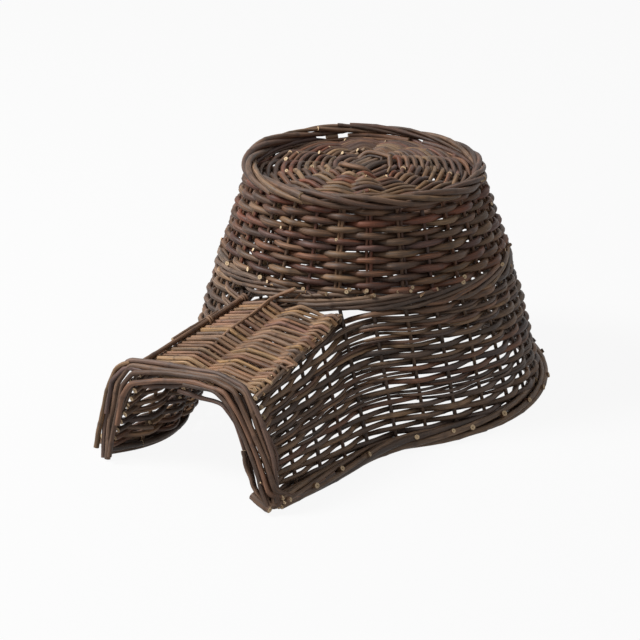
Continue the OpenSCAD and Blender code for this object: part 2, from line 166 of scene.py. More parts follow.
# noise is scale, detail and roughness; space is stretch along a rod and wrap round it;
# shades are places on a ramp with their greys; bump is strength and distance
barkLook = {
    "streaks": (2.6, 7, 0.62), "streakSpace": (15.0, 1.1),
    "streakShades": ((0.32, 0.34), (0.5, 0.9), (0.7, 1.6)),
    "patches": (1.4, 3, 0.5), "patchSpace": (20.0, 0.5),
    "patchShades": ((0.34, 0.5), (0.52, 1.0), (0.7, 1.4)),
    "poreSpace": (260.0, 2.6), "poreShades": ((0.1, 0.3), (0.2, 0.0)), "poreColour": (176, 146, 114),
    "poreHeight": 0.6, "budShare": 0.5, "budColour": (46, 31, 24), "rodShift": 53.0,
    "rough": (0.3, 0.7, 0.44, 0.68), "bump": (0.55, 0.0008), "shine": 0.4,
}
cutLook = {"grain": (900, 4, 0.5), "dark": (200, 166, 126), "pale": (244, 220, 182),
           "pith": (132, 92, 60), "bump": (0.4, 0.0005), "rough": 0.8}


def fill(tree, node, inputs):
    # a link where the value comes out of another node, otherwise a plain setting
    for socket, value in inputs.items():
        if isinstance(value, bpy.types.NodeSocket):
            tree.links.new(value, node.inputs[socket])
        else:
            node.inputs[socket].default_value = value


def addNode(tree, kind, inputs=None, **options):
    node = tree.nodes.new(kind)
    for option, value in options.items():
        setattr(node, option, value)
    fill(tree, node, inputs or {})
    return node


def readAttribute(tree, name):
    return addNode(tree, "ShaderNodeAttribute", attribute_name=name).outputs["Fac"]


def maths(tree, operation, a, b):
    return addNode(tree, "ShaderNodeMath", {0: a, 1: b}, operation=operation).outputs[0]


def ramp(tree, fac, stops):
    node = addNode(tree, "ShaderNodeValToRGB", {"Fac": fac})
    while len(node.color_ramp.elements) < len(stops):
        node.color_ramp.elements.new(0.5)
    for element, (place, colour) in zip(node.color_ramp.elements, stops):
        element.position = place
        element.color = colour
    return node.outputs["Color"]


def shades(tree, fac, stops):
    return ramp(tree, fac, [(place, (value, value, value, 1)) for place, value in stops])


def mixColour(tree, blend, fac, a, b):
    # 6, 7 and 2 are the colour sockets of this node
    inputs = {0: fac, 6: a, 7: b}
    return addNode(tree, "ShaderNodeMix", inputs, data_type="RGBA", blend_type=blend).outputs[2]


def noise(tree, vector, scale, detail, roughness):
    inputs = {"Vector": vector, "Scale": scale, "Detail": detail, "Roughness": roughness}
    return addNode(tree, "ShaderNodeTexNoise", inputs).outputs["Fac"]


def bumped(tree, height, strength, distance):
    inputs = {"Height": height, "Strength": strength, "Distance": distance}
    return addNode(tree, "ShaderNodeBump", inputs).outputs[0]


def newMaterial(name):
    material = bpy.data.materials.new(name)
    material.use_nodes = True
    return material, material.node_tree, material.node_tree.nodes["Principled BSDF"]


def makeBark(name):
    # one colour for each rod, fine streaks along it, pale breathing pores, darker bud rings
    look = barkLook
    material, tree, shader = newMaterial(name)
    swatches = [daylight(*swatch) for swatch in barkColours[name]]
    tint, along = readAttribute(tree, "tint"), readAttribute(tree, "along")
    ringX, ringY = readAttribute(tree, "ringX"), readAttribute(tree, "ringY")
    rodColour = ramp(tree, tint, [(i / (len(swatches) - 1), swatch) for i, swatch in enumerate(swatches)])

    def rodSpace(stretch, wrap):
        stretched = maths(tree, "MULTIPLY", along, stretch)
        shift = maths(tree, "MULTIPLY", tint, look["rodShift"])
        inputs = {0: maths(tree, "ADD", stretched, shift), 1: maths(tree, "MULTIPLY", ringX, wrap),
                  2: maths(tree, "MULTIPLY", ringY, wrap)}
        return addNode(tree, "ShaderNodeCombineXYZ", inputs).outputs[0]

    streaks = noise(tree, rodSpace(*look["streakSpace"]), *look["streaks"])
    patches = noise(tree, rodSpace(*look["patchSpace"]), *look["patches"])
    pores = addNode(tree, "ShaderNodeTexVoronoi", {"Vector": rodSpace(*look["poreSpace"]), "Scale": 1.0})
    poreMask = shades(tree, pores.outputs["Distance"], look["poreShades"])
    budMask = maths(tree, "MULTIPLY", readAttribute(tree, "knot"), look["budShare"])
    colour = mixColour(tree, "MULTIPLY", 1.0, rodColour, shades(tree, streaks, look["streakShades"]))
    colour = mixColour(tree, "MULTIPLY", 1.0, colour, shades(tree, patches, look["patchShades"]))
    colour = mixColour(tree, "MIX", poreMask, colour, daylight(*look["poreColour"]))
    colour = mixColour(tree, "MIX", budMask, colour, daylight(*look["budColour"]))
    rough = addNode(tree, "ShaderNodeMapRange", {"Value": streaks})
    fill(tree, rough, dict(zip(("From Min", "From Max", "To Min", "To Max"), look["rough"])))
    height = maths(tree, "ADD", streaks, maths(tree, "MULTIPLY", poreMask, look["poreHeight"]))
    fill(tree, shader, {"Base Color": colour, "Roughness": rough.outputs[0],
                        "Normal": bumped(tree, height, *look["bump"]), "Specular IOR Level": look["shine"]})
    return material


def makeCutWood():
    # pale end grain with a darker pith
    look = cutLook
    material, tree, shader = newMaterial("cutWood")
    grain = noise(tree, addNode(tree, "ShaderNodeTexCoord").outputs["Object"], *look["grain"])
    wood = ramp(tree, grain, [(0.3, daylight(*look["dark"])), (0.7, daylight(*look["pale"]))])
    colour = mixColour(tree, "MIX", readAttribute(tree, "pith"), wood, daylight(*look["pith"]))
    fill(tree, shader, {"Base Color": colour, "Roughness": look["rough"],
                        "Normal": bumped(tree, grain, *look["bump"])})
    return material


barks = {name: makeBark(name) for name in barkColours}
cutWood = makeCutWood()
print("bark and cut wood made")


# one tree sweeps every rod: a round skin as thick as its own girth, with cut faces at both ends
rodSkin = {"sides": 8, "pithShare": 0.22}


def makeRodTree():
    tree = bpy.data.node_groups.new("willow rods", "GeometryNodeTree")
    kinds = {"Geometry": "Geometry", "Sides": "Int", "Pith Share": "Float", "Bark": "Material",
             "Cut Wood": "Material"}
    sockets = {}
    for name, kind in kinds.items():
        socket = tree.interface.new_socket(name, in_out="INPUT", socket_type="NodeSocket" + kind)
        sockets[name] = socket.identifier
    tree.interface.new_socket("Geometry", in_out="OUTPUT", socket_type="NodeSocketGeometry")
    source = addNode(tree, "NodeGroupInput").outputs

    def add(kind, inputs=None, **options):
        return addNode(tree, kind, inputs, **options).outputs

    def store(geometry, name, domain, value, selection=True):
        inputs = {"Geometry": geometry, "Selection": selection, "Name": name, "Value": value}
        return add("GeometryNodeStoreNamedAttribute", inputs, data_type="FLOAT", domain=domain)["Geometry"]

    circle = add("GeometryNodeCurvePrimitiveCircle", {"Resolution": source["Sides"], "Radius": 1})
    split = add("ShaderNodeSeparateXYZ", {0: add("GeometryNodeInputPosition")[0]})
    ring = store(circle["Curve"], "ringX", "POINT", split["X"])
    ring = store(ring, "ringY", "POINT", split["Y"])
    curve = add("GeometryNodeMeshToCurve", {"Mesh": source["Geometry"]})
    girth = add("GeometryNodeInputNamedAttribute", {"Name": "girth"}, data_type="FLOAT")
    sweep = add("GeometryNodeCurveToMesh", {"Curve": curve[0], "Profile Curve": ring,
                                            "Scale": girth["Attribute"], "Fill Caps": True})
    # a face with more than four corners is a cut end, with a smaller one inside it for the pith
    corners = add("GeometryNodeInputMeshFaceNeighbors")["Vertex Count"]
    isCap = add("FunctionNodeCompare", {2: corners, 3: 4}, data_type="INT", operation="GREATER_THAN")
    grow = add("GeometryNodeExtrudeMesh", {"Mesh": sweep[0], "Selection": isCap[0], "Offset Scale": 0.0},
               mode="FACES")
    shrink = add("GeometryNodeScaleElements", {"Geometry": grow["Mesh"], "Selection": grow["Top"],
                                               "Scale": source["Pith Share"]})
    ended = store(shrink["Geometry"], "pith", "FACE", 1.0, grow["Top"])
    ends = add("FunctionNodeBooleanMath", {0: grow["Top"], 1: grow["Side"]}, operation="OR")[0]
    notEnds = add("FunctionNodeBooleanMath", {0: ends}, operation="NOT")[0]
    smooth = add("GeometryNodeSetShadeSmooth", {"Geometry": ended, "Shade Smooth": notEnds})
    whole = add("GeometryNodeRealizeInstances", {0: smooth[0]})
    barked = add("GeometryNodeSetMaterial", {"Geometry": whole[0], "Material": source["Bark"]})
    cut = add("GeometryNodeSetMaterial", {"Geometry": barked[0], "Selection": ends,
                                          "Material": source["Cut Wood"]})
    addNode(tree, "NodeGroupOutput", {0: cut[0]})
    return tree, sockets


rodTree, rodInput = makeRodTree()


def buildRods(name, rods, bark, nodes=(), sides=rodSkin["sides"]):
    rods = list(rods)
    verts, edges, values = [], [], {"girth": [], "tint": [], "along": [], "knot": []}
    for rod in rods:
        start = len(verts)
        for x, y, z in rod["path"]:
            verts.append((x * millimetre, (y + house["houseY"]) * millimetre, z * millimetre))
        edges += [(i, i + 1) for i in range(start, len(verts) - 1)]
        values["girth"] += [value * millimetre for value in rod["girth"]]
        values["along"] += [value * millimetre for value in rod["along"]]
        values["knot"] += list(rod["knot"])
        values["tint"] += [rod["tint"]] * len(rod["path"])
    lines = bpy.data.meshes.new(name + "Lines")
    lines.from_pydata(verts, edges, [])
    for key, numbers in values.items():
        lines.attributes.new(key, "FLOAT", "POINT").data.foreach_set("value", numbers)
    piece = bpy.data.objects.new(name, lines)
    scene.collection.objects.link(piece)
    sweep = piece.modifiers.new("willow rods", "NODES")
    sweep.node_group = rodTree
    sweep[rodInput["Sides"]] = sides
    sweep[rodInput["Pith Share"]] = rodSkin["pithShare"]
    sweep[rodInput["Bark"]] = barks[bark]
    sweep[rodInput["Cut Wood"]] = cutWood
    graph = bpy.context.evaluated_depsgraph_get()
    skin = bpy.data.meshes.new_from_object(piece.evaluated_get(graph))
    piece.modifiers.clear()
    piece.data = skin
    skin.name = name
    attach(piece, "root")
    if nodes:
        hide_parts(*nodes)
    print(name, len(rods), "rods,", len(skin.polygons), "faces")


# stake lines of the lower wall, counted from the right leg of the mouth round to the left leg
bay = 360 / house["stakes"]
houseBays = house["stakes"] - house["openBays"]
lowerBays = houseBays + 2 * house["sideBays"]
tunnelAngle = math.degrees(math.asin(house["shift"] / house["waistR"])) - 90
firstAngle = tunnelAngle + house["openBays"] / 2 * bay


def mouthY(z):
    height = house["mouthZ"] - house["groundZ"]
    return -house["reach"] + house["mouthLean"] * (z - house["groundZ"]) / height


def mouthFoot(side):
    return np.array([house["shift"] + side * house["mouthFootW"] / 2, -house["reach"], house["groundZ"]])


def mouthTop(side):
    top = house["mouthZ"]
    return np.array([house["shift"] + side * house["mouthTopW"] / 2, mouthY(top), top])


def houseFoot(j):
    far = houseBays - j
    fan, swell = house["fanBays"], house["swellBays"]
    turn = house["cornerFan"] * (math.exp(-j / fan) - math.exp(-far / fan))
    grow = 1 + house["cornerSwell"] * (math.exp(-j / swell) + math.exp(-far / swell))
    return polar(house["footR"] * grow, firstAngle + j * bay + turn, house["groundZ"])


def houseTop(j):
    return polar(house["waistR"], firstAngle + j * bay, house["waistZ"])


def cornerTop(j):
    a, b = houseFoot(j), houseTop(j)
    return mix(a, b, (house["roofZ"] - a[2]) / (b[2] - a[2]))


def stakeLine(s):
    near = house["sideBays"]
    if s < near:
        f = 1 - s / near
        return mix(houseFoot(0), mouthFoot(1), f), mix(cornerTop(0), mouthTop(1), f)
    if s > near + houseBays:
        f = (s - near - houseBays) / near
        bow = np.array([house["leftBow"] * 4 * f * (1 - f), 0, 0])
        foot = mix(houseFoot(houseBays), mouthFoot(-1), f) + bow
        return foot, mix(cornerTop(houseBays), mouthTop(-1), f)
    return houseFoot(s - near), houseTop(s - near)


corners = (house["sideBays"], house["sideBays"] + houseBays)
feet = np.array([stakeLine(s)[0] for s in range(lowerBays + 1)])
tops = np.array([stakeLine(s)[1] for s in range(lowerBays + 1)])
stakeUp = units(tops - feet)
stakeLength = np.linalg.norm(tops - feet, axis=1)
room = stakeLength - house["waistHalf"]
for s in range(lowerBays + 1):
    if s in corners:
        room[s] = np.linalg.norm(cornerTop(s - house["sideBays"]) - feet[s]) - house["cornerRoom"]
    elif s < corners[0] or s > corners[1]:
        room[s] = stakeLength[s] - house["sideRoom"]


def fromMouth(t):
    # bays to the nearer leg of the mouth
    return np.minimum(t, lowerBays - t)


def neighbours(values):
    ahead = np.concatenate([values[1:], values[-1:]])
    behind = np.concatenate([values[:1], values[:-1]])
    return ahead - behind


def spread(start, end, rng, low, high):
    # uneven rod lengths, an even number of bays apart from the last
    marks = [start]
    while marks[-1] < end:
        marks.append(min(end, marks[-1] + 2 * rng.randint(low, high)))
    return list(zip(marks[:-1], marks[1:]))


def tucked(t, start, depth, bays=0.7):
    # a new rod starts behind the old one and comes out within a bay
    return -depth * np.clip(1 - (t - start) / bays, 0, 1) ** 2


# lower wall and tunnel sides: one rod, or two thin ones side by side, finer towards the mouth
lowerWeave = {
    "rows": 20, "rodR": 3.35, "girths": (0.88, 1.1), "start": 14.6, "topRoom": 2.6, "rodBays": (3, 6),
    "perBay": 6, "uneven": 0.1, "drift": 1.1, "waves": 5, "tuck": 2.0, "seed": 11,
    "finer": 0.12, "finerFrom": 1.6, "finerBays": 6,
    "pairShare": 0.35, "pairReach": 0.75, "pairDrift": 0.6, "pairRise": 1.15, "pairR": 0.64,
    "pairTint": 0.2,
}


def lowerRow(k, plan=lowerWeave):
    up = mix(plan["start"], room - plan["topRoom"], k / (plan["rows"] - 1))
    points = feet + stakeUp * up[:, None]
    return points, units(np.cross(neighbours(points), stakeUp))


def lowerRods(parity, plan=lowerWeave):
    rng = random.Random(plan["seed"] + parity)
    for k in range(parity, plan["rows"], 2):
        points, normals = lowerRow(k)
        begin = parity - 1 - 2 * rng.randint(0, 3)
        for start, end in spread(begin, lowerBays + 1, rng, *plan["rodBays"]):
            lo, hi = max(0, start), min(lowerBays, end)
            if hi - lo < 1:
                continue
            radius = plan["rodR"] * rng.uniform(*plan["girths"])
            t = np.linspace(lo, hi, (hi - lo) * plan["perBay"] + 1)
            near = np.clip(plan["finerFrom"] - fromMouth(t) / plan["finerBays"], 0, 1)
            thin = 1 - plan["finer"] * near
            paired = rng.random() < plan["pairShare"]
            across, up = units(through(normals, t)), units(through(stakeUp, t))
            tint = rng.random()
            for n in range(2 if paired else 1):
                reach = house["stakeR"] + radius * (plan["pairReach"] if paired else 1)
                out = reach * np.cos(math.pi * (t + k)) * (1 + wander(len(t), plan["uneven"], rng))
                out = out + tucked(t, lo, plan["tuck"] * radius) * (lo > 0)
                lift = wander(len(t), plan["drift"], rng, plan["waves"])
                if paired:
                    lift = lift * plan["pairDrift"] + (n - 0.5) * plan["pairRise"] * radius
                path = through(points, t) + across * out[:, None] + up * lift[:, None]
                yield makeRod(path, radius * (plan["pairR"] if paired else 1), rng, thin=thin,
                              tint=(tint + plan["pairTint"] * n) % 1)


buildRods("lowerWeaveEven", lowerRods(0), "willowDark", ["lower_weave_a"])
buildRods("lowerWeaveOdd", lowerRods(1), "willowDark", ["lower_weave_b"])

# stakes of the lower wall and of the tunnel's sides
lowerStake = {"foot": 3.9, "underWaist": 1.2, "underEdge": 8, "girths": (0.85, 1.02), "spacing": 9,
              "drift": 0.6, "seed": 21}
stakeRuns = {
    "lowerStakes": (range(corners[0], corners[1] + 1), "lower_stakes"),
    "tunnelStakesRight": (range(0, corners[0]), "side_stakes_right"),
    "tunnelStakesLeft": (range(corners[1] + 1, lowerBays + 1), "side_stakes_left"),
}


def stakeRods(which, seed, plan=lowerStake):
    rng = random.Random(seed)
    for s in which:
        inHouse = corners[0] < s < corners[1]
        high = stakeLength[s] - plan["underWaist" if inHouse else "underEdge"]
        ends = [feet[s] + stakeUp[s] * plan["foot"], feet[s] + stakeUp[s] * high]
        path = softPath(ends, plan["spacing"], 0)
        path[1:-1] = wanderPath(path[1:-1], plan["drift"], rng)
        yield makeRod(path, house["stakeR"] * rng.uniform(*plan["girths"]), rng)


for n, (name, (which, node)) in enumerate(stakeRuns.items()):
    buildRods(name, stakeRods(which, lowerStake["seed"] + n), "willowDark", [node])

# upper wall, a cone from the waist to the rim
upperLean = math.atan2(house["waistR"] - house["rimR"], house["rimZ"] - house["waistZ"])


def upperPoints(j, up, out):
    # places counted in bays, up along the wall and out from it
    radius = house["waistR"] - up * math.sin(upperLean) + out * math.cos(upperLean)
    height = house["waistZ"] + up * math.cos(upperLean) + out * math.sin(upperLean)
    return polars(radius, firstAngle + j * bay, height)


upperWeave = {
    "rows": 14, "rodR": 3.65, "girths": (0.84, 1.14), "from": 12.0, "to": 98.5, "rodBays": (1, 4),
    "perBay": 6, "uneven": 0.08, "drift": 1.0, "waves": 5, "tuck": 2, "inset": 1.0, "press": 0.85,
    "thin": 0.99, "fatter": 0.03, "seed": 31,
}


def upperRods(parity, plan=upperWeave):
    rng = random.Random(plan["seed"] + parity)
    for k in range(parity, plan["rows"], 2):
        up = mix(plan["from"], plan["to"], k / (plan["rows"] - 1))
        begin = 1 - parity + 2 * rng.randint(0, house["stakes"] // 2 - 1)
        for start, end in spread(begin, begin + house["stakes"], rng, *plan["rodBays"]):
            radius = plan["rodR"] * rng.uniform(*plan["girths"])
            t = np.linspace(start, end, (end - start) * plan["perBay"] + 1)
            front = np.cos(math.pi * (t + k))
            reach = plan["press"] * (house["stakeR"] + radius)
            out = reach * front * (1 + wander(len(t), plan["uneven"], rng))
            out = out + tucked(t, start, plan["tuck"] * radius) - plan["inset"]
            thin = plan["thin"] + plan["fatter"] * front  # a little thicker in front of a stake
            path = upperPoints(t, up + wander(len(t), plan["drift"], rng, plan["waves"]), out)
            yield makeRod(path, radius, rng, thin=thin)


buildRods("upperWeaveEven", upperRods(0), "willowBrown", ["upper_weave_a"])
buildRods("upperWeaveOdd", upperRods(1), "willowRed", ["upper_weave_b"])

# stakes of the upper wall; those over the tunnel start lower
upperStake = {"low": 0, "tunnelLow": -6, "high": 101, "points": 16, "sway": 0.02, "lean": 0.3,
              "girths": (0.82, 0.98), "pairShare": 0.5, "beside": 0.13, "pairGirths": (0.66, 0.8),
              "seed": 41}


def upperStakes(plan=upperStake):
    rng = random.Random(plan["seed"])

    def stake(j, up, girths):
        sway = wander(len(up), plan["sway"], rng)
        path = upperPoints(j + sway, up, wander(len(up), plan["lean"], rng))
        return makeRod(path, house["stakeR"] * rng.uniform(*girths), rng)

    for j in range(house["stakes"]):
        low = plan["tunnelLow"] if j > houseBays else plan["low"]
        up = np.linspace(low, plan["high"], plan["points"])
        yield stake(j, up, plan["girths"])
        if rng.random() < plan["pairShare"]:
            # a thinner stake pushed in beside it
            beside = rng.choice((-plan["beside"], plan["beside"]))
            yield stake(j + beside, up, plan["pairGirths"])


buildRods("upperStakes", upperStakes(), "willowRed", ["upper_stakes"])

# waist: long thin rods side by side, each in front of four stakes and behind one
waistBand = {"rodR": 2.5, "girths": (0.88, 1.1), "pitch": 4.7, "period": 5, "rodBays": (11, 17),
             "perBay": 7, "drift": 0.9, "seed": 51}


def waistRods(plan=waistBand):
    rng = random.Random(plan["seed"])
    period = plan["period"]
    heights = [0] + [n - (period - 2) / 2 for n in range(period - 1)]
    q, total = 0, house["stakes"] * period
    while q < total:
        end = min(total, q + rng.randint(*plan["rodBays"]))
        radius = plan["rodR"] * rng.uniform(*plan["girths"])
        places = np.arange(q, end + 1)
        up = np.array([heights[p % period] for p in places]) * plan["pitch"]
        out = np.array([-1 if p % period == 0 else 1 for p in places]) * (house["stakeR"] + radius)
        lines = np.stack([places.astype(float), up, out], axis=1)
        t = np.linspace(0, end - q, (end - q) * plan["perBay"] + 1)
        smooth = through(lines, t)
        lift = smooth[:, 1] + wander(len(t), plan["drift"], rng)
        yield makeRod(upperPoints(smooth[:, 0], lift, smooth[:, 2]), radius, rng)
        q = end


buildRods("waistBand", waistRods(), "willowDark", ["waist_wale"], sides=10)

# what the rim and the foot share: rods wound round a middle line and cut at uneven lengths
rope = {"slip": 0.2, "uneven": 0.16, "endsOff": (1.05, 1.15, 1.3), "tintSlip": 0.1, "girths": (0.78, 1.16)}


def ropeRods(centre, outward, upward, twist, slim, plan, rng):
    last = len(centre) - 1
    for strand in range(plan["strands"]):
        at = 0
        while at < last:
            end = min(last, at + rng.randint(*plan["lengths"]))
            if last - end < plan["lengths"][0] / 2:
                end = last
            pick = np.arange(at, end + 1)
            phase = 2 * math.pi * strand / plan["strands"] + twist[pick]
            phase = phase + rng.uniform(-rope["slip"], rope["slip"])
            reach = plan["twistR"] * slim[pick] * (1 + wander(len(pick), rope["uneven"], rng))
            reach[-3:] *= rope["endsOff"]  # the ends stand off a little
            path = (centre[pick] + outward[pick] * (reach * np.cos(phase))[:, None]
                    + upward[pick] * (reach * np.sin(phase))[:, None])
            tint = plan["tints"][strand % len(plan["tints"])]
            tint = (tint + rng.uniform(-rope["tintSlip"], rope["tintSlip"])) % 1
            radius = plan["rodR"] * rng.uniform(*rope["girths"])
            yield makeRod(path, radius, rng, tint=tint, thin=slim[pick])
            at = end


# rim: four thick rods twisted like a rope, with rods on the stakes' tops under its thin back
# and thin ones inside them
rimRope = {
    "ringR": 130.4, "ringZ": 257.6, "strands": 4, "turns": 4.5, "rodR": 3.7, "twistR": 5.2,
    "lengths": (38, 62), "seam": 20, "points": 161, "lowSide": 40, "lowBy": 4.5, "thinSide": 95,
    "thinBy": 0.36, "tints": (0.1, 0.8, 0.35, 0.62), "seed": 61,
    "underR": 3.2, "underIn": 4.4, "underDown": 7.4,
    "underRuns": ((22, 92), (101, 134), (140, 146), (152, 205)),
    "innerR": 1.9, "innerIn": 6.6, "innerDown": 10.2, "innerRuns": ((58, 130), (126, 194)),
    "follow": 0.8, "drift": 0.5, "girths": (0.9, 1.05),
}


def rimRods(plan=rimRope):
    rng = random.Random(plan["seed"])
    angles = np.linspace(plan["seam"], plan["seam"] + 360, plan["points"])
    upward = np.tile([0.0, 0.0, 1.0], (len(angles), 1))
    low = plan["lowBy"] * np.clip(np.cos(np.radians(angles - plan["lowSide"])), 0, 1)
    slim = 1 - plan["thinBy"] * np.clip(np.cos(np.radians(angles - plan["thinSide"])), 0, 1)
    centre = polars(plan["ringR"], angles, plan["ringZ"]) - upward * low[:, None]
    twist = -np.radians(angles) * plan["turns"]
    yield from ropeRods(centre, polars(1, angles, 0), upward, twist, slim, plan, rng)
    for kind in ("under", "inner"):
        ringR = plan["ringR"] - plan[kind + "In"]
        ringZ = plan["ringZ"] - plan[kind + "Down"]
        for first, last in plan[kind + "Runs"]:
            turn = np.linspace(first, last, max(4, int((last - first) / 2)))
            path = polars(ringR, turn, ringZ)
            path[:, 2] -= np.interp(turn, angles, low) * plan["follow"]
            path = wanderPath(path, plan["drift"], rng)
            yield makeRod(path, plan[kind + "R"] * rng.uniform(*plan["girths"]), rng)


buildRods("rimRope", rimRods(), "willowGrey", ["rim_wale"], sides=12)

# round roof: sticks laid crosswise and fanned out, woven in rounds, a little domed
roundRoof = {"edgeZ": 243, "crown": 14, "edgeR": 119.6, "long": 4, "cross": 3, "pitch": 6.7,
             "crossingR": 18.3, "stickR": 2.7, "weaveFrom": 0.2}
spokes = 2 * (roundRoof["long"] + roundRoof["cross"])


def domeZ(far):
    return roundRoof["edgeZ"] + roundRoof["crown"] * (1 - (far / roundRoof["edgeR"]) ** 2)


def onDome(path):
    # quarter turn, then up on to the dome
    rise = domeZ(np.linalg.norm(path[:, :2], axis=1))
    return np.stack([-path[:, 1], path[:, 0], path[:, 2] + rise], axis=1)


def spokeEnd(i):
    return polar(roundRoof["edgeR"], (i - (roundRoof["long"] - 1) / 2) * 360 / spokes, 0)


def armOf(i):
    # which of the four arms a spoke belongs to, and its number there
    long, cross = roundRoof["long"], roundRoof["cross"]
    if i < long:
        return 0, i
    if i < long + cross:
        return 1, i - long
    if i < 2 * long + cross:
        return 2, 2 * long + cross - 1 - i
    return 3, spokes - 1 - i


def spokeStart(i):
    arm, n = armOf(i)
    count = roundRoof["long"] if arm in (0, 2) else roundRoof["cross"]
    across = (n - (count - 1) / 2) * roundRoof["pitch"]
    dip = -roundRoof["pitch"] if arm in (1, 3) else 0
    half = roundRoof["crossingR"] * (1 if arm in (0, 1) else -1)
    return np.array([half, across, 0]) if arm in (0, 2) else np.array([-across, half, dip])


def besideSpoke(i, f, sign, gap):
    # above or below a spoke, at a share of its length
    return mix(spokeStart(i % spokes), spokeEnd(i % spokes), f) + np.array([0, 0, sign * gap])


sticks = {"spacing": 6, "bends": 4, "fatter": 0.5, "fatFrom": 1.3, "fatSize": 26, "drift": 0.4,
          "girths": (0.92, 1.06), "longSeed": 73, "crossSeed": 74}


def stickRods(pairs, seed, plan=sticks):
    rng = random.Random(seed)
    for i, k in pairs:
        line = [spokeEnd(i), spokeStart(i), spokeStart(k), spokeEnd(k)]
        path = softPath(line, plan["spacing"], plan["bends"])
        far = np.linalg.norm(path[:, :2], axis=1)
        fat = np.clip(plan["fatFrom"] - far / plan["fatSize"], 0, 1)  # fattest where they cross
        path = wanderPath(onDome(path), plan["drift"], rng)
        radius = roundRoof["stickR"] * rng.uniform(*plan["girths"])
        yield makeRod(path, radius, rng, thin=1 + plan["fatter"] * fat)


binding = {"rounds": 4, "firstR": 1.68, "rodR": 3.045, "short": 0.05, "stickShare": 1.1, "spacing": 3,
           "bends": 5, "drift": 0.4, "firstTint": 0.02, "seed": 71}


def bindingRods(plan=binding):
    # each round passes over one whole arm of sticks and under the next
    rng = random.Random(plan["seed"])
    for m in range(plan["rounds"]):
        f = mix(0.0, roundRoof["weaveFrom"] - plan["short"], m / (plan["rounds"] - 1))
        radius = plan["firstR"] if m == 0 else plan["rodR"]
        gap = roundRoof["stickR"] * plan["stickShare"] + radius
        corner = []
        for n in range(spokes + 1):
            sign = 1 if (armOf(n % spokes)[0] + m) % 2 == 0 else -1
            corner.append(besideSpoke(n, f, sign, gap))
        path = onDome(softPath(corner, plan["spacing"], plan["bends"]))
        path = wanderPath(path, plan["drift"], rng)
        yield makeRod(path, radius, rng, tint=plan["firstTint"] if m == 0 else None)


roundWeave = {"rounds": 19, "rodR": 2.75, "girths": (0.9, 1.08), "to": 0.985, "rodSpokes": (2, 4),
              "press": 0.78, "perSpoke": 9, "drift": 0.007, "waves": 5, "seed": 72}


def roundRods(plan=roundWeave):
    rng = random.Random(plan["seed"])
    for m in range(plan["rounds"]):
        f = mix(roundRoof["weaveFrom"], plan["to"], m / (plan["rounds"] - 1))
        begin = rng.randint(0, spokes - 1)
        for first, last in spread(begin, begin + spokes, rng, *plan["rodSpokes"]):
            radius = plan["rodR"] * rng.uniform(*plan["girths"])
            gap = (roundRoof["stickR"] + radius) * plan["press"]
            corner = []
            for n in range(first, last + 1):
                corner.append(besideSpoke(n, f, 1 if (n + m) % 2 == 0 else -1, gap))
            t = np.linspace(0, last - first, (last - first) * plan["perSpoke"] + 1)
            path = through(np.array(corner), t)
            # round between the spokes, not straight
            far = np.linalg.norm(path[:, :2], axis=1)
            want = np.interp(t, range(len(corner)), [np.linalg.norm(point[:2]) for point in corner])
            drift = wander(len(t), plan["drift"], rng, plan["waves"])
            path[:, :2] *= (want / far * (1 + drift))[:, None]
            yield makeRod(onDome(path), radius, rng)


longPairs = [(n, 2 * roundRoof["long"] + roundRoof["cross"] - 1 - n) for n in range(roundRoof["long"])]
crossPairs = [(roundRoof["long"] + n, spokes - 1 - n) for n in range(roundRoof["cross"])]
longSticks = stickRods(longPairs, sticks["longSeed"])
crossSticks = stickRods(crossPairs, sticks["crossSeed"])
buildRods("roofLongSticks", longSticks, "willowDark", ["base_long_sticks"])
buildRods("roofCrossSticks", crossSticks, "willowGrey", ["base_cross_sticks"])
buildRods("roofBinding", bindingRods(), "willowBrown", ["base_binding"])
buildRods("roofWeave", roundRods(), "willowBrown", ["base_weave"])

# foot: a rolled border outside the stakes' feet, above the rod that lies on the ground
footBorder = {
    "out": 5.0, "mouthOut": 8.4, "up": 9.4, "mouthUp": 11.5, "nearBays": 6, "strands": 6, "rodR": 3.1,
    # the border's tints lean to the lighter bark: painted light that makes up for the shade the border lies
    # in
    "twistR": 6.2, "bayTurn": 0.5, "perBay": 6, "lengths": (36, 64), "tints": (0.12, 0.57, 0.3, 0.24),
    "inside": 5.2, "insideZ": 9, "insideR": 3.3, "insideBays": 8, "insideDrift": 0.6, "insideTint": 0.25,
    "seed": 81,
}
borderNormal = units(np.cross(neighbours(feet), stakeUp))


def borderOut(t):
    return units(through(borderNormal, t) * [1, 1, 0])


def borderWay(t):
    # outward direction and middle of the border at places counted in bays
    outward = borderOut(t)
    near = np.clip(1 - fromMouth(t) / footBorder["nearBays"], 0, 1)
    out = mix(footBorder["out"], footBorder["mouthOut"], near)
    up = mix(footBorder["up"], footBorder["mouthUp"], near)
    return outward, through(feet, t) * [1, 1, 0] + outward * out[:, None] + np.outer(up, [0, 0, 1])


def footRods(plan=footBorder):
    rng = random.Random(plan["seed"])
    t = np.linspace(0, lowerBays, lowerBays * plan["perBay"] + 1)
    outward, centre = borderWay(t)
    upward = np.tile([0.0, 0.0, 1.0], (len(t), 1))
    rods = list(ropeRods(centre, outward, upward, t * plan["bayTurn"], np.ones(len(t)), plan, rng))
    # one more rod inside the stakes
    bays = plan["insideBays"]
    for first in range(0, lowerBays, bays):
        place = np.linspace(first, min(first + bays, lowerBays), bays * plan["perBay"] + 1)
        path = through(feet, place) - borderOut(place) * plan["inside"]
        path[:, 2] = plan["insideZ"] + wander(len(path), plan["insideDrift"], rng)
        tint = rng.uniform(0, plan["insideTint"])
        rods.append(makeRod(path, plan["insideR"], rng, tint=tint))
    for rod in rods:
        rod["path"][:, 2] = np.maximum(rod["path"][:, 2], rod["girth"])  # on the ground, not in it
    return rods


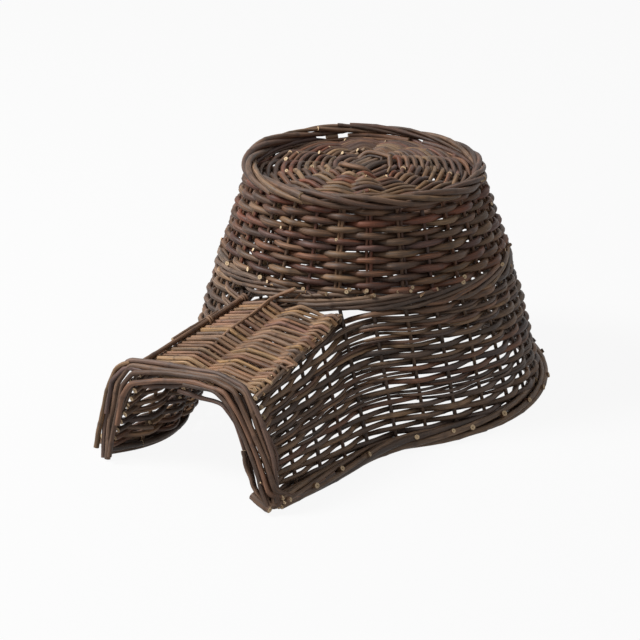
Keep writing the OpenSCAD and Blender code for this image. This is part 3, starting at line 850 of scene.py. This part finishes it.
groundRod = {"rodR": 2.6, "up": 2.75, "cuts": (0, 11, 22, lowerBays), "perBay": 6, "drift": 0.5,
             "taper": 0.06, "seed": 91}


def groundRods(plan=groundRod):
    rng = random.Random(plan["seed"])
    for start, end in zip(plan["cuts"][:-1], plan["cuts"][1:]):
        path = through(feet, np.linspace(start, end, (end - start) * plan["perBay"] + 1))
        path[:, 2] = plan["up"]
        for axis in (0, 1):
            path[:, axis] += wander(len(path), plan["drift"], rng)
        yield makeRod(path, plan["rodR"], rng, taper=plan["taper"], knots=False)


buildRods("footBorder", footRods(), "willowDark", ["foot_wale"], sides=10)
buildRods("groundRod", groundRods(), "willowDark", ["ground_rod"])

# tunnel roof: two ribs between two edge rods, woven across with fine rods
# ribs and edges are lines numbered 0 to 3 from the left, each from the mouth to the house
tunnelRoof = {
    "rows": 43, "rodR": 2.4, "girths": (0.85, 1.15), "first": 0.0147, "last": 0.935, "press": 1.8,
    "leftOut": 1.5, "leftDown": 2.2, "endIn": (-1, 4), "endUp": (-1, 4), "overEdge": 0.95,
    "tailOut": (3, 11), "tailUp": (0, 7), "spacing": 2.4, "bends": 1, "drift": 1.1, "driftUp": 0.1,
    "taper": 0.3, "seed": 101,
}
roofRun = house["reach"] - house["mouthLean"] - house["waistR"]
roofSlope = math.atan2(house["roofZ"] - house["mouthZ"], roofRun)
roofUp = np.array([0, -math.sin(roofSlope), math.cos(roofSlope)])


def ribEnds(q):
    mouthEnd = mix(mouthTop(-1), mouthTop(1), q / house["openBays"])
    if q == 0:
        return mouthEnd, cornerTop(houseBays)
    if q == house["openBays"]:
        return mouthEnd, cornerTop(0)
    angle = tunnelAngle + (q - house["openBays"] / 2) * bay
    return mouthEnd, polar(house["waistR"], angle, house["roofZ"])


def ribAt(q, f):
    a, b = ribEnds(q)
    return mix(a, b, f)


def tunnelRods(parity, plan=tunnelRoof):
    rng = random.Random(plan["seed"] + parity)
    side = np.array([1.0, 0, 0])
    flip = 1 - 2 * parity
    for m in range(parity, plan["rows"], 2):
        f = mix(plan["first"], plan["last"], m / (plan["rows"] - 1))
        radius = plan["rodR"] * rng.uniform(*plan["girths"])
        out = plan["press"] * (house["stakeR"] + radius)
        left, right = ribAt(0, f), ribAt(3, f)
        corner = [left - side * plan["leftOut"] - roofUp * (house["stakeR"] + plan["leftDown"]),
                  ribAt(1, f) - roofUp * flip * out, ribAt(2, f) + roofUp * flip * out]
        if parity == 0:
            corner.append(right - side * rng.uniform(*plan["endIn"])
                          + roofUp * rng.uniform(*plan["endUp"]))
        else:
            corner += [right + roofUp * out * plan["overEdge"],
                       right + side * rng.uniform(*plan["tailOut"])
                       + roofUp * rng.uniform(*plan["tailUp"])]
        path = softPath(corner, plan["spacing"], plan["bends"])
        drift = wander(len(path), plan["drift"], rng)
        path = path + np.outer(drift, [0, 1, plan["driftUp"]])
        yield makeRod(path, radius, rng, taper=plan["taper"])


# rods along those lines: run is where they start and stop, off how far from the line they lie
lineRod = {"spacing": 6, "drift": 0.6, "seed": 111}
roofRibs = {
    "leftRib": {"line": 1, "run": (-0.01, 1), "off": (0, 0, 0), "rodR": 2.6},
    "rightRib": {"line": 2, "run": (-0.01, 1), "off": (0, 0, 0), "rodR": 2.6},
}
leftEdge = {
    "edgeRod": {"line": 0, "run": (-0.03, 0.965), "off": (0, 0, 1.4), "rodR": 2.8, "tint": 0.14},
    "outerRod": {"line": 0, "run": (0.3, 0.72), "off": (-3.2, 0, 2.6), "rodR": 2.0, "tint": 0.55},
}
rightEdge = {
    "edgeRod": {"line": 3, "run": (-0.02, 0.965), "off": (0, 0, 0), "rodR": 2.9},
    "outerRod": {"line": 3, "run": (-0.03, 0.5), "off": (4.5, 0, 3.2), "rodR": 2.9, "tint": 0.2},
    "topRod": {"line": 3, "run": (0.02, 0.42), "off": (-1.5, 0, 6.2), "rodR": 2.4, "tint": 0.5},
}
# a rod that lies on the roof over the left rib and then runs up the wall
roofTop = {"line": 1, "from": 0.3, "fromUp": 3, "middle": 0.5, "middleUp": 9, "backUp": 10,
           "backOff": (0, 8, 0), "end": (28, -8, 26), "spacing": 4, "bends": 3, "drift": 0.9, "rodR": 2.0,
           "tint": 0.2}


def lineRods(bundle, rng):
    for rod in bundle.values():
        ends = [ribAt(rod["line"], f) for f in rod["run"]]
        path = softPath(ends, lineRod["spacing"], 0) + np.array(rod["off"])
        path = wanderPath(path, lineRod["drift"], rng)
        yield makeRod(path, rod["rodR"], rng, tint=rod.get("tint"))


def ribRods(plan=roofTop):
    rng = random.Random(lineRod["seed"])
    yield from lineRods(roofRibs, rng)
    a, b = ribEnds(plan["line"])
    line = [mix(a, b, plan["from"]) + roofUp * plan["fromUp"],
            mix(a, b, plan["middle"]) + roofUp * plan["middleUp"],
            b + roofUp * plan["backUp"] - plan["backOff"], b + plan["end"]]
    path = softPath(line, plan["spacing"], plan["bends"])
    path = wanderPath(path, plan["drift"], rng)
    yield makeRod(path, plan["rodR"], rng, tint=plan["tint"])


leftRods = lineRods(leftEdge, random.Random(lineRod["seed"] + 1))
rightRods = lineRods(rightEdge, random.Random(lineRod["seed"] + 4))
buildRods("tunnelWeaveEven", tunnelRods(0), "willowTan", ["tunnel_weave_a"])
buildRods("tunnelWeaveOdd", tunnelRods(1), "willowTan", ["tunnel_weave_b"])
buildRods("tunnelRibs", ribRods(), "willowTan", ["roof_ribs"])
buildRods("tunnelEdgeRight", rightRods, "willowDark", ["roof_edge_right"])
buildRods("tunnelEdgeLeft", leftRods, "willowBrown", ["roof_edge_left"])

# thin ends wound round the edge rods, near the house and a little further out
edgeTies = {"rodR": 1.3, "houseAt": 6.5, "houseTurns": 2.4, "farAt": (62, 70), "farTurns": 1.6,
            "perTurn": 18, "coilR": 4.4, "uneven": 0.5, "waver": 0.7, "pitch": 0.5, "seed": 121}


def tieRods(plan=edgeTies):
    rng = random.Random(plan["seed"])
    for q in (0, 3):
        a, b = ribEnds(q)
        run = unit(a - b)
        across = unit(np.cross(run, [0, 0, 1]))
        upward = np.cross(across, run)
        coils = ((plan["houseAt"], plan["houseTurns"]),
                 (rng.uniform(*plan["farAt"]), plan["farTurns"]))
        for begin, turns in coils:
            turn = np.linspace(0, 2 * math.pi * turns, int(turns * plan["perTurn"]))
            far = plan["coilR"] + plan["uneven"] * np.sin(turn * plan["waver"])
            path = (b + np.outer(begin + turn * plan["pitch"], run)
                    + np.outer(far * np.cos(turn), across) + np.outer(far * np.sin(turn), upward))
            yield makeRod(path, plan["rodR"], rng, knots=False)


buildRods("edgeTies", tieRods(), "willowTan", ["edge_ties"])

# mouth: a bundle of uneven rods bent over the legs and the front of the roof
# points are across and up in the mouth's own plane, from left to right; off is how far they
# lie behind it, so in front below nought; a tail goes on into the foot border, counted in bays
mouthBack = {
    "outerLeg": {"off": -8, "rodR": 2.8, "tint": 0.86,
                 "points": [(-70, 112), (-88, 101), (-97, 76), (-104, 35), (-106, 10)]},
    "outerRod": {"off": -6, "rodR": 3.0, "tint": 0.75,
                 "points": [(-95, 1), (-98, 40), (-93, 84), (-74, 113), (-45, 118), (45, 126), (82, 120),
                            (106, 92), (127, 55), (139, 8)]},
    "secondRod": {"off": -9, "rodR": 2.9, "tint": 0.15,
                  "points": [(-88, 2), (-89, 45), (-84, 88), (-68, 111), (-30, 116), (50, 124), (84, 116),
                             (100, 88), (124, 50), (137, 6)]},
    "shoulderRod": {"off": -11, "rodR": 2.6, "tint": 0.7,
                    "points": [(-93, 52), (-90, 86), (-73, 107), (-40, 112), (5, 117)]},
    # legRod, cornerRod and innerLeg, on the right leg, take tints near nought, the darkest bark: painted
    # shade
    "legRod": {"off": -8, "rodR": 2.6, "tint": 0.02,
               "points": [(40, 119), (80, 110), (103, 77), (122, 44), (138, 12)]},
    "cornerRod": {"off": -4, "rodR": 2.6, "tint": 0.0,
                  "points": [(48, 121), (81, 114), (102, 88), (125, 48), (138, 9)]},
    "fillRod": {"off": -7, "rodR": 2.8, "tint": 0.57,
                "points": [(42, 113), (67, 108), (85, 86), (109, 48), (129, 10)]},
    "innerLeg": {"off": -6, "rodR": 2.4, "tint": 0.04,
                 "points": [(58, 101), (77, 82), (96, 48), (110, 14)]},
}
mouthFront = {
    "thirdRod": {"off": -13, "rodR": 2.9, "tint": 0.3, "tail": (0.35, 0.9, 1.6, 2.1),
                 "points": [(-82, 8), (-79, 50), (-75, 88), (-60, 106), (-15, 115), (45, 121), (74, 116),
                            (94, 90), (122, 52), (136, 26)]},
    "innerRod": {"off": -14, "rodR": 2.9, "tint": 0.94, "tail": (0.25, 0.7, 1.2, 1.7),
                 "points": [(-74, 44), (-71, 76), (-62, 92), (-25, 105), (20, 116), (62, 115), (84, 93),
                            (112, 53), (131, 20)]},
    "shortRod": {"off": -11, "rodR": 2.7, "tint": 0.57,
                 "points": [(-45, 95), (-12, 100), (25, 111), (55, 109), (76, 90), (103, 52), (130, 5)]},
    "bowedRod": {"off": -15, "rodR": 2.5, "tint": 0.05,
                 "points": [(10, 108), (50, 112), (72, 99), (90, 76), (112, 42), (132, 9)]},
    "lowRod": {"off": -9, "rodR": 2.4, "tint": 0.6,
               "points": [(-2, 98), (30, 97), (58, 96), (74, 84), (94, 54), (104, 30), (126, 6)]},
    # footRod, heelRod and stump, on the right foot, take dark tints: painted shade
    "footRod": {"off": -13, "rodR": 2.4, "tint": 0.1,
                "points": [(92, 60), (101, 38), (113, 18), (128, 9)]},
    "heelRod": {"off": -12, "rodR": 2.8, "tint": 0.1, "tail": (0.2, 0.5, 0.9, 1.3),
                "points": [(116, 34), (128, 14), (135, 7)]},
    "twig": {"off": -5, "rodR": 1.5, "tint": 0.6,
             "points": [(101, 94), (118, 76), (128, 62), (132, 44)]},
    "stump": {"off": -14, "rodR": 4.6, "tint": 0.12,
              "points": [(110, 15), (121, 11), (134, 6.5)]},
}
mouthBend = {"spacing": 4, "bends": 2, "drift": 1.7, "waves": 7, "calmBelow": 30, "tailOut": 4,
             "tailUp": (3, -2, -1, 2), "backSeed": 131, "frontSeed": 132}


def mouthRods(bundle, seed, plan=mouthBend):
    rng = random.Random(seed)
    for rod in bundle.values():
        corner = [np.array([x, mouthY(z) + rod["off"], z]) for x, z in rod["points"]]
        if "tail" in rod:
            # bent round the foot and laid into the border
            outward, middle = borderWay(np.array(rod["tail"]))
            corner += list(middle + outward * plan["tailOut"] + np.outer(plan["tailUp"], [0, 0, 1]))
        path = softPath(corner, plan["spacing"], plan["bends"])
        drift = wanderPath(path, plan["drift"], rng, plan["waves"]) - path
        path = path + drift * np.clip(path[:, 2:] / plan["calmBelow"], 0, 1)
        yield makeRod(path, rod["rodR"], rng, tint=rod["tint"])


backRods = mouthRods(mouthBack, mouthBend["backSeed"])
frontRods = mouthRods(mouthFront, mouthBend["frontSeed"])
buildRods("mouthBackRods", backRods, "willowGrey", ["arch_back_rods"], sides=12)
buildRods("mouthFrontRods", frontRods, "willowGrey", ["arch_front_rods"], sides=12)

# loose ends: pale cut butts along the border, on the upper wall, at the waist and on the roof
borderEnd = {"missing": 0.12, "ahead": (0.1, 0.6), "lastRoom": 0.05, "slant": (-0.3, 0.4),
             "rise": (0.25, 0.8), "length": (10.4, 11.8), "rodR": 3.0, "girths": (0.85, 1.1), "seed": 141}
wallEnd = {"count": 34, "low": (8, 16), "high": (16, 98), "beside": (0.12, 0.3), "from": 0.0,
           "slant": (-0.12, 0.12), "rise": (-1, 3), "out": (6.5, 9.5), "rodR": (1.7, 2.6), "seed": 142}
roofEnd = {"count": 18, "far": (36, 112), "turn": (60, 120), "rise": (0.5, 1.0), "length": (7, 10),
           "rodR": (1.6, 2.4), "seed": 143}
waistEnd = {"count": 16, "place": (0.2, 0.8), "up": (5, 10), "from": 2.0, "slant": (-0.3, 0.3),
            "rise": (0, 2), "out": (8, 10.5), "rodR": (2.0, 2.8), "seed": 144}


def stub(base, way, length, radius, rng):
    path = np.array([base + unit(way) * f * length for f in (0, 0.35, 0.7, 1.0)])
    return makeRod(path, radius, rng, taper=0.05, knots=False)


def borderEnds(plan=borderEnd):
    rng = random.Random(plan["seed"])
    for s in range(lowerBays + 1):
        if rng.random() < plan["missing"]:
            continue
        place = min(lowerBays - plan["lastRoom"], s + rng.uniform(*plan["ahead"]))
        outward, middle = borderWay(np.array([place]))
        way = outward[0] + unit(neighbours(feet)[s]) * rng.uniform(*plan["slant"])
        way = way + np.array([0, 0, rng.uniform(*plan["rise"])])
        length = rng.uniform(*plan["length"])
        yield stub(middle[0], way, length, plan["rodR"] * rng.uniform(*plan["girths"]), rng)


def wallStub(place, up, plan, rng):
    base = upperPoints(place, up, np.array([plan["from"]]))[0]
    slanted = place + rng.uniform(*plan["slant"])
    risen = up + rng.uniform(*plan["rise"])
    tip = upperPoints(slanted, risen, np.array([rng.uniform(*plan["out"])]))[0]
    return stub(base, tip - base, np.linalg.norm(tip - base), rng.uniform(*plan["rodR"]), rng)


def wallEnds(plan=wallEnd):
    rng = random.Random(plan["seed"])
    for _ in range(plan["count"]):
        j = rng.randint(0, house["stakes"] - 1)
        up = rng.choice([rng.uniform(*plan["low"]), rng.uniform(*plan["high"])])
        place = j + rng.choice((-1, 1)) * rng.uniform(*plan["beside"])
        yield wallStub(np.array([place]), np.array([up]), plan, rng)


def waistEnds(plan=waistEnd):
    rng = random.Random(plan["seed"])
    for n in range(plan["count"]):
        place = (n + rng.uniform(*plan["place"])) * house["stakes"] / plan["count"]
        up = rng.uniform(*plan["up"])
        yield wallStub(np.array([place]), np.array([up]), plan, rng)


def roofEnds(plan=roofEnd):
    rng = random.Random(plan["seed"])
    for _ in range(plan["count"]):
        angle, far = rng.uniform(0, 360), rng.uniform(*plan["far"])
        way = polar(1, angle + rng.uniform(*plan["turn"]), rng.uniform(*plan["rise"]))
        length = rng.uniform(*plan["length"])
        yield stub(polar(far, angle, domeZ(far)), way, length, rng.uniform(*plan["rodR"]), rng)


# thin ends that spring out of the weave at the roof's right edge, the waist and the right leg
twigs = {
    "count": 26, "edge": (0.1, 0.97), "edgeUp": 2, "edgeWay": ((0.1, 1), (-1, 1), (0, 0.7)),
    "waist": (-4, 9), "waistOut": 4.0, "aheadBays": 0.3, "aheadUp": 6.0, "aheadOut": 9.0,
    "waistRise": (-2, 4),
    "leg": (12, 96), "legFootX": 132, "legTopX": 92, "legTopZ": 110, "legFront": 8,
    "legWay": ((-1, 0.6), (-0.5, 0.1), (-0.4, 1)),
    "length": (9, 20), "straight": 0.5, "bent": 0.8, "bend": ((-2, 2), (-2, 2), (-3, 3)),
    "rodR": (0.7, 1.2), "taper": 0.5, "seed": 145,
}


def strayTwigs(plan=twigs):
    rng = random.Random(plan["seed"])
    for n in range(plan["count"]):
        where = n % 3
        if where == 0:
            base = ribAt(3, rng.uniform(*plan["edge"])) + roofUp * plan["edgeUp"]
            way = drawn(rng, plan["edgeWay"])
        elif where == 1:
            place = np.array([rng.uniform(0, house["stakes"])])
            up = np.array([rng.uniform(*plan["waist"])])
            base = upperPoints(place, up, np.array([plan["waistOut"]]))[0]
            place = place + rng.choice((-1, 1)) * plan["aheadBays"]
            ahead = upperPoints(place, np.array([plan["aheadUp"]]), np.array([plan["aheadOut"]]))[0]
            way = ahead - base + np.array([0, 0, rng.uniform(*plan["waistRise"])])
        else:
            up = rng.uniform(*plan["leg"])
            across = mix(plan["legFootX"], plan["legTopX"], up / plan["legTopZ"])
            base = np.array([across, mouthY(up) - plan["legFront"], up])
            way = drawn(rng, plan["legWay"])
        length = rng.uniform(*plan["length"])
        bend = drawn(rng, plan["bend"])
        path = softPath([base, base + unit(way) * length * plan["straight"],
                         base + unit(way) * length * plan["bent"] + bend], 2, 3)
        yield makeRod(path, rng.uniform(*plan["rodR"]), rng, taper=plan["taper"], knots=False)


buildRods("strayTwigs", strayTwigs(), "willowTan", sides=6)
ends = [*borderEnds(), *wallEnds(), *waistEnds(), *roofEnds()]
buildRods("looseEnds", ends, "willowBrown")


def aim(place, target):
    return (Vector(target) - Vector(place)).to_track_quat("-Z", "Y").to_euler()


# camera from the front right, at the height of a person bending down
view = {"place": (1.5984, -2.22642, 1.1986), "target": (-0.0287, 0.03038, 0.0762), "lens": 147.375,
        "sensor": 36, "farthest": 50}
camera = bpy.data.objects.new("camera", bpy.data.cameras.new("camera"))
scene.collection.objects.link(camera)
camera.location = view["place"]
camera.rotation_euler = aim(view["place"], view["target"])
camera.data.lens = view["lens"]
camera.data.sensor_width = view["sensor"]
camera.data.clip_end = view["farthest"]
scene.camera = camera

# soft light from the upper left, with a white world that lights the house only a little
light = {"place": (-1.5, -1.2, 2.2), "target": (0, 0, 0.1), "size": 0.9, "power": 90, "sky": 0.18}
lamp = bpy.data.objects.new("softbox", bpy.data.lights.new("softbox", "AREA"))
scene.collection.objects.link(lamp)
lamp.location = light["place"]
lamp.rotation_euler = aim(light["place"], light["target"])
lamp.data.size = light["size"]
lamp.data.energy = light["power"]

world = bpy.data.worlds.new("studio")
scene.world = world
world.use_nodes = True


def seenDirectly(tree):
    path = tree.nodes.new("ShaderNodeLightPath")
    either = maths(tree, "MAXIMUM", path.outputs["Is Camera Ray"], path.outputs["Is Glossy Ray"])
    return maths(tree, "MAXIMUM", either, path.outputs["Is Transmission Ray"])


sky = world.node_tree.nodes["Background"]
strength = maths(world.node_tree, "MAXIMUM", seenDirectly(world.node_tree), light["sky"])
fill(world.node_tree, sky, {"Color": (1, 1, 1, 1), "Strength": strength})

# pale floor that is nearly white to the camera and still takes a soft shadow
ground = {"half": 6, "grey": 0.6, "rough": 0.9, "white": 0.92}


def makeFloor():
    half = ground["half"]
    mesh = bpy.data.meshes.new("floor")
    square = [(-half, -half, 0), (half, -half, 0), (half, half, 0), (-half, half, 0)]
    mesh.from_pydata(square, [], [(0, 1, 2, 3)])
    floor = bpy.data.objects.new("floor", mesh)
    scene.collection.objects.link(floor)
    material, tree, shader = newMaterial("paleFloor")
    fill(tree, shader, {"Base Color": (ground["grey"], ground["grey"], ground["grey"], 1),
                        "Roughness": ground["rough"]})
    white = addNode(tree, "ShaderNodeEmission").outputs[0]
    share = maths(tree, "MULTIPLY", seenDirectly(tree), ground["white"])
    blend = addNode(tree, "ShaderNodeMixShader", {0: share, 1: shader.outputs[0], 2: white})
    fill(tree, tree.nodes["Material Output"], {"Surface": blend.outputs[0]})
    mesh.materials.append(material)


makeFloor()
